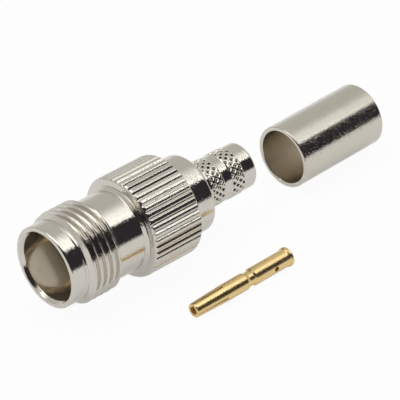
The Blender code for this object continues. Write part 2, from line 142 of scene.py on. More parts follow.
def add_object(name: str, data: ID) -> Object:
    """Puts a mesh or a camera into the scene.

    Args:
        name: The object's name.
        data: The mesh or camera.

    Returns:
        The new object.
    """
    made = bpy.data.objects.new(name, data)
    bpy.context.scene.collection.objects.link(made)
    return made


@dataclass(frozen=True)
class Placement:
    """Where a turned piece's axis lies: its front end, its heading on the table and its rise to the rear."""

    origin: Vector
    yaw: float = 0.0
    rise: float = 0.0

    def matrix(self) -> Matrix:
        """Gives the matrix that takes a piece from its own axis to its place on the table."""
        turn = Matrix.Rotation(self.yaw, 4, "Z") @ Matrix.Rotation(-self.rise, 4, "Y")
        return Matrix.Translation(self.origin) @ turn


def supported(rings: Sequence[Ring], angles: np.ndarray, closed: bool) -> list[Ring]:
    """Adds a ring just inside each end of every long run, which keeps the run's shading straight.

    Args:
        rings: The rings of one turned surface.
        angles: The angle of each column.
        closed: Whether the last ring joins the first again.

    Returns:
        The rings with the added ones among them.
    """
    full = [(station, np.broadcast_to(radius, angles.shape)) for station, radius in rings]
    made = []
    for (near, near_radius), (far, far_radius) in zip(full, full[1:] + full[:1]):
        made.append((near, near_radius))
        run = math.hypot(far - near, float(np.max(np.abs(far_radius - near_radius))))
        if run > LONG_RUN:
            for share in (SUPPORT / run, 1 - SUPPORT / run):
                station = near + (far - near) * share
                made.append((station, near_radius + (far_radius - near_radius) * share))
    while not closed and made[-1][0] != full[-1][0]:
        made.pop()
    return made


class TurnedMesh:
    """Collects turned surfaces round the X axis into one mesh."""

    def __init__(self) -> None:
        """Starts with no surface."""
        self.points: list[np.ndarray] = []
        self.faces: list[np.ndarray] = []
        self.count = 0

    def add(self, rings: Sequence[Ring], angles: np.ndarray, closed: bool = False) -> Self:
        """Adds one surface that passes through a row of rings.

        Args:
            rings: The rings, front to rear on an outer wall and rear to front on a bore.
            angles: The angle of each column, in radians, once round the axis.
            closed: Whether the last ring joins the first again.

        Returns:
            The same mesh.
        """
        rings = supported(rings, angles, closed)
        stations = np.array([station for station, _ in rings])[:, None]
        radii = np.array([np.broadcast_to(radius, angles.shape) for _, radius in rings])
        along = np.broadcast_to(stations, radii.shape)
        grid = np.stack([along, radii * np.cos(angles), radii * np.sin(angles)], axis=-1)
        rows, columns = radii.shape
        index = np.arange(rows * columns).reshape(rows, columns) + self.count
        near = index if closed else index[:-1]
        far = np.roll(index, -1, axis=0) if closed else index[1:]
        quads = [near, np.roll(near, -1, axis=1), np.roll(far, -1, axis=1), far]
        self.points.append(grid.reshape(-1, 3))
        self.faces.append(np.stack(quads, axis=-1).reshape(-1, 4))
        self.count += rows * columns
        return self

    def piece(self, name: str, place: Placement) -> Object:
        """Makes the object, with its place on the table in its mesh.

        Args:
            name: The piece's name.
            place: Where its axis lies.

        Returns:
            The new object, linked and smooth.
        """
        mesh = bpy.data.meshes.new(name)
        mesh.from_pydata(np.concatenate(self.points).tolist(), [], np.concatenate(self.faces).tolist())
        mesh.validate()
        mesh.transform(place.matrix())
        mesh.shade_smooth()
        mesh.set_sharp_from_angle(angle=SHARP_ANGLE)
        return add_object(name, mesh)


def even_angles(columns: int) -> np.ndarray:
    """Gives evenly spaced angles once round the axis."""
    return math.tau * np.arange(columns) / columns


def turned(points: Sequence[tuple[float, float]]) -> list[Ring]:
    """Turns profile points, as station and radius, into plain round rings."""
    return [(station, np.array(radius)) for station, radius in points]


class Turn(Enum):
    """The ways that a profile runs into or out of a square corner."""

    REARWARD = (1.0, 0.0)
    FORWARD = (-1.0, 0.0)
    OUTWARD = (0.0, 1.0)
    INWARD = (0.0, -1.0)


def eased(
    corner: tuple[float, float], arriving: Turn, leaving: Turn, radius: float, steps: int = 5
) -> list[tuple[float, float]]:
    """Rounds a square corner of a profile.

    Args:
        corner: The sharp corner, as station and radius.
        arriving: The way the profile runs into it.
        leaving: The way it runs out of it.
        radius: The round's radius.
        steps: The number of short lines in the round.

    Returns:
        The points of the round.
    """
    into, out = Vector(arriving.value), Vector(leaving.value)
    centre = Vector(corner) + radius * (out - into)
    turns = [math.pi / 2 * step / steps for step in range(steps + 1)]
    return [tuple(centre + radius * (into * math.sin(t) - out * math.cos(t))) for t in turns]


def smooth_rise(value: np.ndarray) -> np.ndarray:
    """Eases a share from 0 to 1 with a level start and end."""
    share = np.clip(value, 0.0, 1.0)
    return share * share * (3 - 2 * share)


def soft_least(first: np.ndarray, second: np.ndarray, blend: float) -> np.ndarray:
    """Takes the smaller of two radii, with their meeting edge rounded over about one blend length."""
    return (first + second - np.sqrt((first - second) ** 2 + blend**2)) / 2


@dataclass(frozen=True)
class PlatedMetal:
    """A metal plated over turned, rolled or drawn brass.

    Two kinds of mark lie under its plating: the lay, which the cutting or drawing leaves as long fine
    lines round the piece, and the small round dents that the pieces beat into each other in the barrel.
    Usual distances are 0.05 mm from line to line and 0.1 mm from dent to dent. Both are drawn two or
    three times as coarse, because one pixel of the picture shows 0.13 mm and would hide them.

    Args:
        name: The material's name.
        slot: The record's slot that it stands for. It is not used.
        colour: Its colour in sRGB hex.
        roughness: Its mean roughness.
        lay_length: How long a tool mark is round the piece; lay_width is across it, lay_slope how steep.
        dent_spacing: The distance from dent to dent; dent_slope is how steep they are.
        haze: How far the roughness strays from its mean.
        patchiness: How far the colour strays, as a share of it.
        film: The share of the light that a dull film scatters.
    """

    name: str
    slot: str
    colour: str
    roughness: float
    lay_length: float
    lay_width: float
    lay_slope: float
    dent_spacing: float
    dent_slope: float
    haze: float = 0.02
    patchiness: float = 0.06
    film: float = 0.0
    dent_reach: ClassVar[float] = 0.4
    """How far a dent reaches out, as a share of the spacing; the metal between the dents is smooth."""
    patch_size: ClassVar[float] = 1.4 * MM
    """The size of the patches where the plating is a little duller and darker."""

    def material(self) -> Material:
        """Makes the metal, with the fine marks that its making leaves under the plating.

        Returns:
            The new material.
        """
        material = bpy.data.materials.new(self.name)
        tree = empty_tree(material)
        place = add_node(tree, "ShaderNodeTexCoord").outputs["Object"]
        lay_size = (self.lay_width, self.lay_length, self.lay_length)
        lay = add_node(tree, "ShaderNodeMapping", {"Vector": place, "Scale": lay_size}, vector_type="TEXTURE")
        marks = add_node(tree, "ShaderNodeTexNoise", {"Vector": lay.outputs[0], "Scale": 1.0, "Detail": 2.0})
        centres = add_node(tree, "ShaderNodeTexVoronoi", {"Vector": place, "Scale": 1 / self.dent_spacing})
        # A mark that is as high as its width times a slope has slopes of about that size
        lay_height = self.lay_slope * self.lay_width
        dent_height = self.dent_slope * self.dent_spacing * self.dent_reach
        dents = add_node(tree, "ShaderNodeMapRange", {
            "Value": centres.outputs["Distance"],
            "From Max": self.dent_reach,
            "To Max": dent_height / lay_height,
        }, interpolation_type="SMOOTHSTEP")
        heights = {0: marks.outputs["Fac"], 1: dents.outputs["Result"]}
        relief = add_node(tree, "ShaderNodeMath", heights, operation="ADD")
        bump = add_node(tree, "ShaderNodeBump", {"Height": relief.outputs[0], "Distance": lay_height})
        patches = add_node(tree, "ShaderNodeTexNoise", {
            "Vector": place,
            "Scale": 1 / self.patch_size,
            "Detail": 3.0,
            "Roughness": 0.6,
        })
        rough = add_node(tree, "ShaderNodeMapRange", {
            "Value": patches.outputs["Fac"],
            "From Min": NOISE_RANGE[0],
            "From Max": NOISE_RANGE[1],
            "To Min": max(self.roughness - self.haze, 0.0),
            "To Max": self.roughness + self.haze,
        })
        tint = add_node(tree, "ShaderNodeMix", {
            "Factor": patches.outputs["Fac"],
            "A": linear(self.colour, 1 - self.patchiness / 2),
            "B": linear(self.colour, 1 + self.patchiness / 2),
        }, data_type="RGBA")
        shader = add_node(tree, "ShaderNodeBsdfPrincipled", {
            "Base Color": tint.outputs["Result"],
            "Metallic": 1.0 - self.film,
            "Roughness": rough.outputs["Result"],
            "Normal": bump.outputs["Normal"],
        })
        add_node(tree, "ShaderNodeOutputMaterial", {"Surface": shader.outputs["BSDF"]})
        return material


@dataclass(frozen=True)
class TurnedPlastic:
    """White PTFE turned from rod: waxy and translucent, with faint tool marks.

    Usual tool marks are 0.05 mm wide. They are drawn at 0.12 mm, so that they show at all.

    Args:
        name: The material's name.
        slot: The record's slot that it stands for. It is not used.
        colour: Its colour in sRGB hex, and mark_colour that of its tool marks.
        roughness: Its roughness.
        mark_width: How wide a tool mark is, and mark_height how high.
        light_depth: How far light goes into it.
        ior: Its refractive index, which is low for a plastic.
    """

    name: str
    slot: str
    colour: str
    mark_colour: str
    roughness: float = 0.5
    mark_width: float = 0.12 * MM
    mark_height: float = 0.004 * MM
    light_depth: float = 2.0 * MM
    ior: float = 1.35

    def material(self) -> Material:
        """Makes the plastic.

        Returns:
            The new material.
        """
        material = bpy.data.materials.new(self.name)
        tree = empty_tree(material)
        place = add_node(tree, "ShaderNodeTexCoord").outputs["Object"]
        pattern = {"Vector": place, "Scale": 1 / self.mark_width, "Detail": 2.0}
        marks = add_node(tree, "ShaderNodeTexNoise", pattern)
        relief = {"Height": marks.outputs["Fac"], "Distance": self.mark_height}
        bump = add_node(tree, "ShaderNodeBump", relief)
        shade = add_node(tree, "ShaderNodeMix", {
            "Factor": marks.outputs["Fac"],
            "A": linear(self.colour),
            "B": linear(self.mark_colour),
        }, data_type="RGBA")
        shader = add_node(tree, "ShaderNodeBsdfPrincipled", {
            "Base Color": shade.outputs["Result"],
            "Roughness": self.roughness,
            "IOR": self.ior,
            "Subsurface Weight": 1.0,
            "Subsurface Radius": (self.light_depth,) * 3,
            "Subsurface Scale": 1.0,
            "Normal": bump.outputs["Normal"],
        })
        add_node(tree, "ShaderNodeOutputMaterial", {"Surface": shader.outputs["BSDF"]})
        return material


BRIGHT_NICKEL = PlatedMetal(
    # Bright nickel over turned brass: a warm mirror, with tool marks that run round it
    name="bright_nickel_on_turned_brass",
    slot="bright_nickel",
    colour="#d3cfc7",
    roughness=0.06,
    lay_length=0.5 * MM,
    lay_width=0.13 * MM,
    lay_slope=0.12,
    dent_spacing=0.22 * MM,
    dent_slope=0.06,
)
KNURLED_NICKEL = PlatedMetal(
    # The same plating on rolled teeth and pits: torn, rough faces that sparkle
    name="bright_nickel_on_rolled_knurl",
    slot="bright_nickel",
    colour="#d3cfc7",
    roughness=0.12,
    lay_length=0.12 * MM,
    lay_width=0.16 * MM,
    lay_slope=0.05,
    dent_spacing=0.20 * MM,
    dent_slope=0.12,
)
BORE_NICKEL = PlatedMetal(
    # The bore, which the plating barely reaches: smoothly reamed, and browner with each reflection.
    # It is lighter than real nickel, to make up for the reflections that the renderer leaves out
    name="thin_nickel_in_a_reamed_bore",
    slot="bright_nickel",
    colour="#fcf3e3",
    roughness=0.11,
    lay_length=1.5 * MM,
    lay_width=0.14 * MM,
    lay_slope=0.02,
    dent_spacing=0.30 * MM,
    dent_slope=0.0,
    film=0.05,
)
SATIN_NICKEL = PlatedMetal(
    # Nickel over drawn tube: barrel-plated, with fine dents and scratches all over
    name="satin_nickel_on_drawn_tube",
    slot="satin_nickel",
    colour="#d0ccc2",
    roughness=0.09,
    lay_length=0.24 * MM,
    lay_width=0.14 * MM,
    lay_slope=0.13,
    dent_spacing=0.20 * MM,
    dent_slope=0.135,
)
TUBE_BORE = PlatedMetal(
    # The inside of the same tube, which the plating barely reaches: dull and brownish
    name="satin_nickel_inside_drawn_tube",
    slot="satin_nickel",
    colour="#d2cabc",
    roughness=0.24,
    lay_length=0.35 * MM,
    lay_width=0.16 * MM,
    lay_slope=0.06,
    dent_spacing=0.35 * MM,
    dent_slope=0.05,
    film=0.07,
)
GOLD = PlatedMetal(
    # Gold flash over turned brass: soft-bright, pale yellow
    name="gold_flash_on_turned_brass",
    slot="gold",
    colour="#e8cd94",
    roughness=0.26,
    lay_length=0.8 * MM,
    lay_width=0.12 * MM,
    lay_slope=0.04,
    dent_spacing=0.22 * MM,
    dent_slope=0.06,
)
CONTACT_BORE_PAINTED_LIGHTER = PlatedMetal(
    # The contact's two bores, where the gold is thinnest: dull, and browner with each reflection. Its colour
    # is painted light, lighter than the outer gold, to make up for the reflections that the renderer leaves
    # out
    name="thin_gold_painted_lighter_in_drilled_bores",
    slot="gold",
    colour="#f2d494",
    roughness=0.50,
    lay_length=0.8 * MM,
    lay_width=0.12 * MM,
    lay_slope=0.08,
    dent_spacing=0.22 * MM,
    dent_slope=0.0,
    film=0.35,
)
PTFE = TurnedPlastic(
    # Turned PTFE: waxy white, and it glows where light goes through it to its sides
    name="white_ptfe_turned_from_rod",
    slot="ptfe",
    colour="#fdfcfa",
    mark_colour="#f9f7f2",
)


def show(piece: Object, node: str, finish: PlatedMetal | TurnedPlastic) -> None:
    """Puts a piece in the place of its CAD node, and gives both of them the finish.

    Args:
        piece: The piece.
        node: The CAD node that it stands for.
        finish: What the piece is made of.
    """
    material = finish.material()
    for made in (piece, frame["nodes"][node]):
        made.data.materials.clear()
        made.data.materials.append(material)
    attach(piece, BODY)
    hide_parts(node)


def refinish(piece: Object, finish: PlatedMetal, place: Placement, chosen: FaceTest) -> None:
    """Gives some faces of a piece another finish.

    Args:
        piece: The piece, which already has its main finish.
        finish: The other finish.
        place: Where the piece's axis lies.
        chosen: Picks the faces that get the finish.
    """
    piece.data.materials.append(finish.material())
    to_axis = place.matrix().inverted()
    turn = to_axis.to_3x3()
    for face in piece.data.polygons:
        centre, normal = to_axis @ face.center, turn @ face.normal
        inwards = centre.y * normal.y + centre.z * normal.z < 0
        if chosen(centre.x, math.hypot(centre.y, centre.z), inwards):
            face.material_index = len(piece.data.materials) - 1


@dataclass
class JackPiece:
    """A piece on the jack's own axis."""

    def place(self) -> Placement:
        """Reads the jack's axis and mouth from the frame."""
        low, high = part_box("jack_shell")
        return Placement(Vector((low.x, (low.y + high.y) / 2, (low.z + high.z) / 2)))


@dataclass
class JackShell(JackPiece):
    """The threaded front of the jack: mouth, pilot, coupling thread, neck and shoulder ring."""

    bore_radius: float = 4.05 * MM
    bore_depth: float = 8.40 * MM
    mouth_chamfer: tuple[float, float] = (0.38 * MM, 0.34 * MM)
    pilot_radius: float = 4.90 * MM
    pilot_length: float = 2.25 * MM
    rim_round: float = 0.20 * MM
    score_station: float = 1.82 * MM
    score_width: float = 0.13 * MM
    score_depth: float = 0.08 * MM
    crest_radius: float = 5.535 * MM
    lead_in_length: float = 0.35 * MM
    run_out_length: float = 0.60 * MM
    neck_start: float = 6.90 * MM
    shoulder_start: float = 10.40 * MM
    shoulder_end: float = 10.80 * MM
    shoulder_radius: float = 5.30 * MM
    cone_length: float = 0.25 * MM
    shoulder_edge: float = 0.10 * MM
    spigot_radius: float = 4.40 * MM
    chamber_radius: float = 3.60 * MM
    nose_hole_radius: float = 2.55 * MM
    web_end: float = 9.60 * MM
    spigot_end: float = 13.20 * MM
    threads_per_inch: float = 28.0
    crest_station: float = 2.627 * MM
    crest_angle: float = math.radians(149)
    root_height: float = 0.06 * MM
    edge_wear: float = 0.03 * MM
    crest_wear_share: float = 0.12
    root_wear_share: float = 0.15
    edge_break: float = 0.04 * MM
    bore_fillet: float = 0.15 * MM
    columns: int = 256
    row_step: float = 0.035 * MM

    @property
    def pitch(self) -> float:
        """The thread's pitch."""
        return INCH / self.threads_per_inch

    def thread_radius(self, station: float, angles: np.ndarray) -> np.ndarray:
        """Gives the right-handed thread's radius round one station.

        Args:
            station: The distance behind the mouth.
            angles: The angles of the columns.

        Returns:
            The radius at each angle.
        """
        turn = (station - self.crest_station) / self.pitch - (angles - self.crest_angle) / math.tau
        from_crest = np.abs(turn - np.round(turn)) * self.pitch
        # A unified thread is flat over an eighth of its pitch at the crest and a quarter at the root
        crest_flat, root_flat = self.pitch / 8, self.pitch / 4
        flank = (from_crest - crest_flat / 2) / (self.pitch / 2 - crest_flat / 2 - root_flat / 2)
        height = self.crest_radius - self.pilot_radius
        crest = self.crest_radius - (height - self.root_height) * np.clip(flank, 0.0, 1.0)
        # The crest's edges are worn down, and the root's corners filled up
        worn = np.exp(-((flank / self.crest_wear_share) ** 2))
        filled = np.exp(-(((flank - 1) / self.root_wear_share) ** 2))
        worn_crest = crest - self.edge_wear * (worn - filled)
        lead = self.pilot_radius + (station - self.pilot_length) * (height / self.lead_in_length)
        run_out = self.pilot_radius + (self.neck_start - station) * (height / self.run_out_length)
        cone = np.full_like(angles, min(lead, run_out, self.crest_radius))
        return np.maximum(soft_least(worn_crest, cone, BLEND), self.pilot_radius)

    def build(self, place: Placement) -> Object:
        """Builds the shell as one closed turned surface with its thread.

        Args:
            place: Where its axis lies.

        Returns:
            The new piece.
        """
        angles = even_angles(self.columns)
        chamfer_length, chamfer_width = self.mouth_chamfer
        score_middle = self.score_station + self.score_width / 2
        edge = self.edge_break
        rings = turned([
            (chamfer_length + edge, self.bore_radius),
            (chamfer_length - edge, self.bore_radius + edge),
            (edge, self.bore_radius + chamfer_width - edge),
            (0.0, self.bore_radius + chamfer_width + edge / 2),
            *eased((0.0, self.pilot_radius), Turn.OUTWARD, Turn.REARWARD, self.rim_round, 8),
            (self.score_station - edge, self.pilot_radius),
            (self.score_station, self.pilot_radius - edge / 4),
            (score_middle, self.pilot_radius - self.score_depth),
            (self.score_station + self.score_width, self.pilot_radius - edge / 4),
            (self.score_station + self.score_width + edge, self.pilot_radius),
            (self.pilot_length - edge, self.pilot_radius),
        ])
        steps = round((self.neck_start - self.pilot_length) / self.row_step)
        for row in range(steps + 1):
            station = self.pilot_length + (self.neck_start - self.pilot_length) * row / steps
            rings.append((station, self.thread_radius(station, angles)))
        cone_end = self.shoulder_start + self.cone_length
        rings += turned([
            (self.neck_start + edge, self.pilot_radius),
            (self.shoulder_start - edge, self.pilot_radius),
            (self.shoulder_start, self.pilot_radius + edge / 2),
            (cone_end, self.shoulder_radius - self.shoulder_edge / 2),
            (cone_end + edge, self.shoulder_radius),
            (self.shoulder_end - edge, self.shoulder_radius),
            (self.shoulder_end, self.shoulder_radius - edge),
            (self.shoulder_end, self.spigot_radius),
            (self.spigot_end, self.spigot_radius),
            (self.spigot_end, self.chamber_radius),
            (self.web_end, self.chamber_radius),
            (self.web_end, self.nose_hole_radius),
            (self.bore_depth, self.nose_hole_radius),
            *eased((self.bore_depth, self.bore_radius), Turn.OUTWARD, Turn.FORWARD, self.bore_fillet),
        ])
        return TurnedMesh().add(rings, angles, closed=True).piece("threaded_shell", place)

    def dress(self, piece: Object, place: Placement) -> None:
        """Plates the shell, more thinly in its bore."""
        show(piece, "jack_shell", BRIGHT_NICKEL)
        refinish(piece, BORE_NICKEL, place, self.reamed)

    def reamed(self, station: float, radius: float, inwards: bool) -> bool:
        """Says if a face belongs to the bore or to the space behind it."""
        return inwards and radius < self.bore_radius + HAIR


@dataclass
class RearBody(JackPiece):
    """The knurled collar, the hub and the crimp stem, turned and rolled from one bar."""

    collar_front: float = 10.805 * MM
    face_end: float = 11.0 * MM
    collar_rear: float = 17.89 * MM
    bore_radius: float = 4.50 * MM
    seat_end: float = 13.30 * MM
    land_radius: float = 5.27 * MM
    face_radius: float = 5.82 * MM
    collar_radius: float = 6.096 * MM
    lead_length: float = 0.35 * MM
    lead_rows: tuple[float, ...] = (0.04, 0.12, 0.22, 0.35, 0.5, 0.7, 0.85, 1.0)
    rear_chamfer: float = 0.15 * MM
    rear_rows: tuple[float, ...] = (0.0, 0.3, 0.65, 1.0)
    rear_bulge: float = 1.5
    teeth: int = 45
    tooth_depth: float = 0.17 * MM
    groove_angle: float = math.radians(94.4)
    groove_width: float = 0.47 * MM
    groove_floor: float = 0.05 * MM
    groove_edge: float = 0.025 * MM
    land_crown: float = 0.010 * MM
    knurl_margin: float = 0.05 * MM
    hub_radius: float = 4.71 * MM
    hub_rear: float = 21.23 * MM
    hub_round: float = 0.35 * MM
    hub_taper: float = 0.04 * MM
    stem_radius: float = 2.77 * MM
    stem_bore_radius: float = 2.15 * MM
    stem_end: float = 29.36 * MM
    stem_round: float = 0.25 * MM
    bore_chamfer: float = 0.05 * MM
    chamber_radius: float = 3.60 * MM
    chamber_end: float = 19.74 * MM
    bands: tuple[tuple[float, float, int], ...] = ((22.65 * MM, 24.55 * MM, 3), (25.60 * MM, 27.50 * MM, 4))
    band_edge: float = 0.12 * MM
    rows_long: int = 4
    diamonds: int = 20
    pit_angle: float = math.radians(97.5)
    net_height: float = 0.09 * MM
    pit_depth: float = 0.17 * MM
    net_share: float = 0.30
    stem_columns: int = 240
    row_step: float = 0.04 * MM

    def collar_angles(self) -> np.ndarray:
        """Gives columns crowded at the edges of each groove, with few across its walls and the land.

        Returns:
            The angles, once round the collar.
        """
        pitch = math.tau / self.teeth
        half_floor, half_groove = self.groove_floor / 2, self.groove_width / 2
        half_pitch = pitch * self.collar_radius / 2
        offsets = [
            half_floor,
            half_floor + self.groove_edge,
            (half_floor + half_groove) / 2,
            half_groove - self.groove_edge,
            half_groove,
            half_groove + self.groove_edge,
            (half_groove + half_pitch) / 2,
        ]
        across = [*(-offset for offset in reversed(offsets)), 0.0, *offsets, half_pitch]
        grooves = self.groove_angle + pitch * np.arange(self.teeth)[:, None]
        return (grooves + np.array(across) / self.collar_radius).ravel()

    def tooth_radius(self, angles: np.ndarray) -> np.ndarray:
        """Gives the straight knurl's radius: slightly crowned lands with open V grooves between them.

        Args:
            angles: The angles of the columns.

        Returns:
            The radius at each angle.
        """
        pitch = math.tau / self.teeth
        turn = (angles - self.groove_angle) / pitch
        off_middle = np.abs(turn - np.round(turn)) * pitch * self.collar_radius
        half_floor, half_groove = self.groove_floor / 2, self.groove_width / 2
        half_land = pitch * self.collar_radius / 2 - half_groove
        wall = (off_middle - half_floor) / (half_groove - half_floor)
        floor = self.collar_radius - self.tooth_depth
        groove = floor + self.tooth_depth * np.maximum(wall, 0.0)
        across_land = np.clip(1 - (off_middle - half_groove) / half_land, 0.0, 1.0)
        land = self.collar_radius - self.land_crown * across_land**2
        return soft_least(groove, land, BLEND)

    def collar_rings(self, angles: np.ndarray) -> list[Ring]:
        """Gives the collar from the seat in its front face to the foot of the hub.

        Args:
            angles: The angles of the columns.

        Returns:
            The rings, front to rear.
        """
        crest = self.tooth_radius(angles)
        rings = turned([
            (self.collar_front, self.bore_radius),
            (self.collar_front, self.land_radius),
            (self.face_end, self.face_radius),
        ])
        for share in self.lead_rows:
            limit = self.face_radius + (self.collar_radius - self.face_radius) * math.sin(share * math.pi / 2)
            rings.append((self.face_end + self.lead_length * share, np.minimum(crest, limit)))
        rear_start = self.collar_rear - self.rear_chamfer
        for share in self.rear_rows:
            limit = self.collar_radius - self.rear_chamfer * share**self.rear_bulge
            rings.append((rear_start + self.rear_chamfer * share, np.minimum(crest, limit)))
        return rings + turned([(self.collar_rear, self.hub_radius + self.hub_taper)])

    def stem_radius_at(self, station: float, angles: np.ndarray) -> np.ndarray:
        """Gives the stem's radius round one station, with the pits of the two rolled bands.

        Args:
            station: The distance behind the mouth.
            angles: The angles of the columns.

        Returns:
            The radius at each angle.
        """
        radius = np.full_like(angles, self.stem_radius)
        for start, end, rows in self.bands:
            step = (end - start) / self.rows_long
            first = (start + end - step * (rows - 1)) / 2
            across = (angles - self.pit_angle) / math.tau * self.diamonds * 2
            down = (station - first) / step
            one, other = (across + down) / 2, (across - down) / 2
            to_net = 1 - 2 * np.maximum(np.abs(one - np.round(one)), np.abs(other - np.round(other)))
            pit = smooth_rise((to_net - self.net_share) / (1 - self.net_share))
            inside = float(smooth_rise(np.array(min(station - start, end - station) / self.band_edge)))
            radius = radius + inside * (self.net_height - (self.net_height + self.pit_depth) * pit)
        return radius

    def build(self, place: Placement) -> Object:
        """Builds the collar, hub and stem as one piece.

        Args:
            place: Where its axis lies.

        Returns:
            The new piece.
        """
        collar_angles = self.collar_angles()
        rings = self.collar_rings(collar_angles)
        rings += turned([
            *eased((self.hub_rear, self.hub_radius), Turn.REARWARD, Turn.INWARD, self.hub_round, 8),
            (self.hub_rear, self.stem_radius),
        ])
        mesh = TurnedMesh().add(rings, collar_angles)
        angles = even_angles(self.stem_columns)
        rings = turned([(self.hub_rear, self.stem_radius)])
        straight = self.stem_end - self.stem_round - self.hub_rear
        steps = round(straight / self.row_step)
        for row in range(1, steps):
            station = self.hub_rear + straight * row / steps
            rings.append((station, self.stem_radius_at(station, angles)))
        rings += turned([
            *eased((self.stem_end, self.stem_radius), Turn.REARWARD, Turn.INWARD, self.stem_round, 6),
            (self.stem_end, self.stem_bore_radius + self.bore_chamfer),
            (self.stem_end - self.bore_chamfer, self.stem_bore_radius),
            (self.chamber_end, self.stem_bore_radius),
            (self.chamber_end, self.chamber_radius),
            (self.seat_end, self.chamber_radius),
            (self.seat_end, self.bore_radius),
            (self.collar_front, self.bore_radius),
        ])
        return mesh.add(rings, angles).piece("knurled_body", place)

    def rolled(self, station: float, radius: float, inwards: bool) -> bool:
        """Says if a face of the body was rolled: the collar's teeth and the stem's two bands.

        Args:
            station: Its distance behind the mouth.
            radius: Its distance from the axis.
            inwards: Whether it looks at the axis.

        Returns:
            True for a rolled face.
        """
        if inwards:
            return False
        if radius > self.hub_radius + 2 * self.knurl_margin:
            return self.face_end + self.knurl_margin < station < self.collar_rear - HAIR
        return any(start < station < end for start, end, _ in self.bands)

    def dress(self, piece: Object, place: Placement) -> None:
        """Plates the body, with rougher plating on the rolled teeth and bands."""
        show(piece, "rear_body", BRIGHT_NICKEL)
        refinish(piece, KNURLED_NICKEL, place, self.rolled)


@dataclass
class Insulator(JackPiece):
    """The stepped PTFE insulator behind the mouth."""

    nose_face: float = 4.05 * MM
    nose_radius: float = 2.45 * MM
    nose_round: float = 0.30 * MM
    shoulder: float = 9.70 * MM
    body_radius: float = 3.50 * MM
    rear: float = 19.64 * MM
    front_wall: float = 1.05 * MM
    body_round: float = 0.10 * MM
    pin_radius: float = 0.32 * MM
    pin_chamfer: float = 0.05 * MM
    bore_radius: float = 1.10 * MM
    recess_radius: float = 1.22 * MM
    recess_depth: float = 0.64 * MM
    columns: int = 96

    def build(self, place: Placement) -> Object:
        """Builds the insulator as one closed turned surface.

        Args:
            place: Where its axis lies.

        Returns:
            The new piece.
        """
        rings = turned([
            (self.nose_face + self.pin_chamfer, self.pin_radius),
            (self.nose_face, self.pin_radius + self.pin_chamfer),
            *eased((self.nose_face, self.nose_radius), Turn.OUTWARD, Turn.REARWARD, self.nose_round, 8),
            (self.shoulder, self.nose_radius),
            *eased((self.shoulder, self.body_radius), Turn.OUTWARD, Turn.REARWARD, self.body_round),
            *eased((self.rear, self.body_radius), Turn.REARWARD, Turn.INWARD, self.body_round),
            (self.rear, self.recess_radius),
            (self.rear - self.recess_depth, self.recess_radius),
            (self.rear - self.recess_depth, self.bore_radius),
            (self.nose_face + self.front_wall, self.bore_radius),
            (self.nose_face + self.front_wall, self.pin_radius),
        ])
        angles = even_angles(self.columns)
        return TurnedMesh().add(rings, angles, closed=True).piece("ptfe_insulator", place)

    def dress(self, piece: Object, place: Placement) -> None:
        """Gives the insulator its white plastic."""
        show(piece, "insulator", PTFE)


@dataclass
class CrimpFerrule:
    """The drawn tube that is crimped over the cable's braid."""

    length: float = 13.00 * MM
    radius: float = 3.84 * MM
    bore_radius: float = 3.315 * MM
    outer_round: float = 0.15 * MM
    inner_chamfer: float = 0.10 * MM
    edge_break: float = 0.02 * MM
    columns: int = 192

    def place(self) -> Placement:
        """Reads the ferrule's axis from its box and from the mount on its front face.

        Returns:
            Where its axis lies.
        """
        low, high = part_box("crimp_ferrule")
        mounts = {mount["name"]: mount for mount in frame["record"]["mounts"]}
        back = -Vector(mounts["ferrule_front"]["axis"])
        yaw = math.atan2(back.y, back.x)
        middle = (low + high) / 2
        front = middle - Vector((math.cos(yaw), math.sin(yaw), 0)) * self.length / 2
        return Placement(front, yaw=yaw)

    def build(self, place: Placement) -> Object:
        """Builds the ferrule as one closed turned surface.

        Args:
            place: Where its axis lies.

        Returns:
            The new piece.
        """
        edge = self.edge_break
        rings = turned([
            (2 * self.inner_chamfer, self.bore_radius),
            (self.inner_chamfer, self.bore_radius + edge / 2),
            (edge, self.bore_radius + self.inner_chamfer - edge),
            (0.0, self.bore_radius + self.inner_chamfer + edge),
            *eased((0.0, self.radius), Turn.OUTWARD, Turn.REARWARD, self.outer_round, 7),
            (self.length / 2, self.radius),
            *eased((self.length, self.radius), Turn.REARWARD, Turn.INWARD, self.outer_round, 7),
            (self.length, self.bore_radius + self.inner_chamfer),
            (self.length - self.inner_chamfer, self.bore_radius),
            (self.length / 2, self.bore_radius),
        ])
        angles = even_angles(self.columns)
        return TurnedMesh().add(rings, angles, closed=True).piece("ferrule_tube", place)

    def dress(self, piece: Object, place: Placement) -> None:
        """Plates the tube, duller inside."""
        show(piece, "crimp_ferrule", SATIN_NICKEL)
        refinish(piece, TUBE_BORE, place, self.inside)

    def inside(self, station: float, radius: float, inwards: bool) -> bool:
        """Says if a face belongs to the bore behind its front chamfer."""
        return inwards and station > self.inner_chamfer


